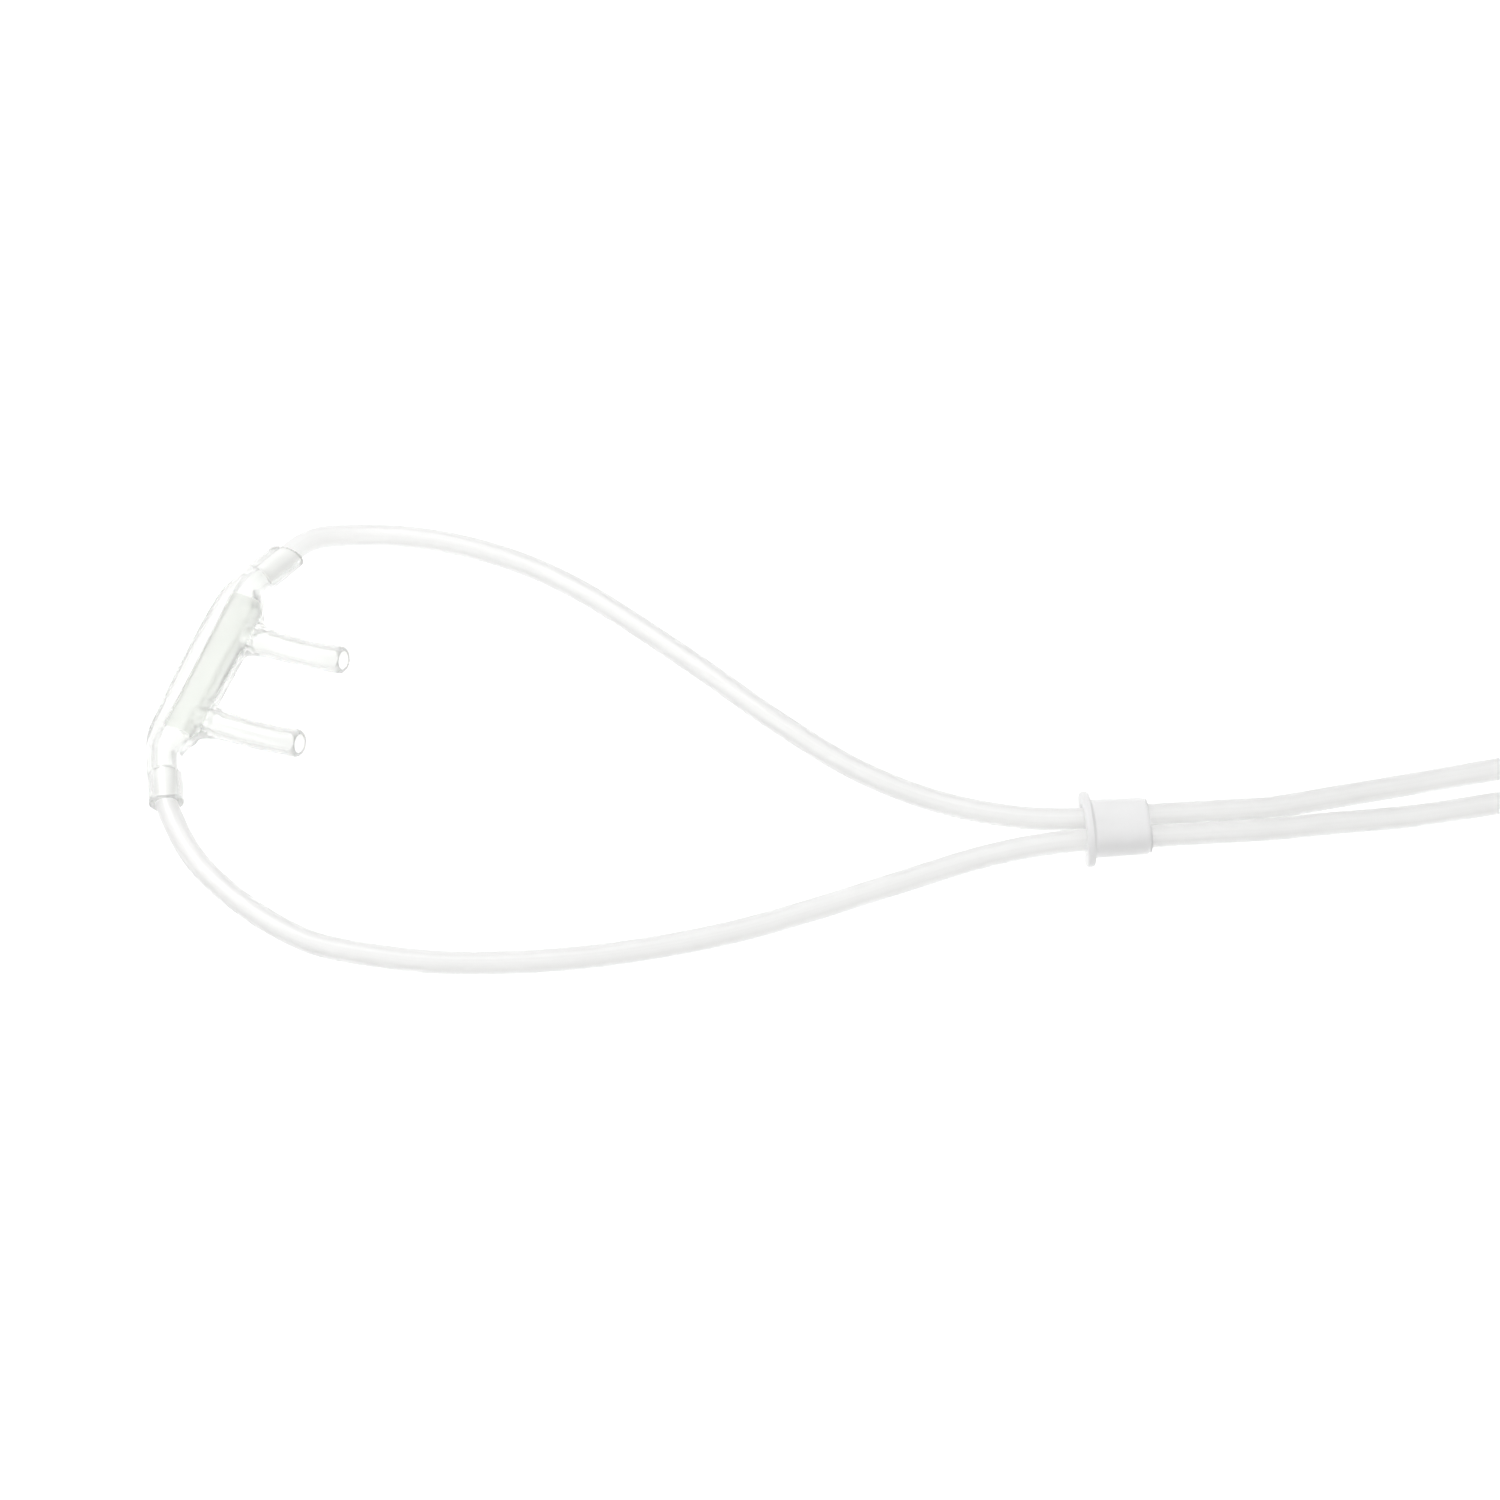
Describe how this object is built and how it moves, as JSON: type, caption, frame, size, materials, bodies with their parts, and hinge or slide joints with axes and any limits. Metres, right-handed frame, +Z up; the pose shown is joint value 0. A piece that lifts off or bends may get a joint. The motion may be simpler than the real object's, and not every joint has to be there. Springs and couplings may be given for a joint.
{
  "type": "nasal oxygen cannula",
  "caption": "Clear vinyl nasal cannula: curved nose piece with prongs, loop of fine tubes with a slider, Y connector, coiled supply tube and soft end connector.",
  "frame": {"origin": "middle of the nose piece's flat underside, which lies on the table", "axes": "+X along the loop from the nose piece towards the slider and the supply tube, +Y across the table, +Z up; the nose piece's long axis lies 20 degrees from Y"},
  "size_m": [0.3128, 0.1396, 0.035],
  "materials": {
    "clear_vinyl": "clear soft PVC tube, faint grey-green cast, fine lengthwise extrusion streaks",
    "nose_vinyl": "clear soft moulded PVC, greenish grey, glossy with soft wrinkles at the prong roots",
    "milky_plastic": "milky translucent moulded plastic, satin gloss",
    "tie_film": "thin white film band, matt"
  },
  "bodies": {
    "cannula": {"nose_piece": "nose_vinyl", "left_tube": "clear_vinyl", "right_tube": "clear_vinyl", "y_connector": "milky_plastic", "supply_lead": "clear_vinyl", "supply_coil": "clear_vinyl", "supply_tail": "clear_vinyl", "coil_tie": "tie_film", "end_connector": "milky_plastic"},
    "slider": {"slider": "milky_plastic"}
  },
  "joints": [
    {"name": "slider_slide", "type": "slide", "parent": "cannula", "child": "slider", "axis": [0.9978, 0.0663, 0], "range_m": [0, 0.018]}
  ]
}
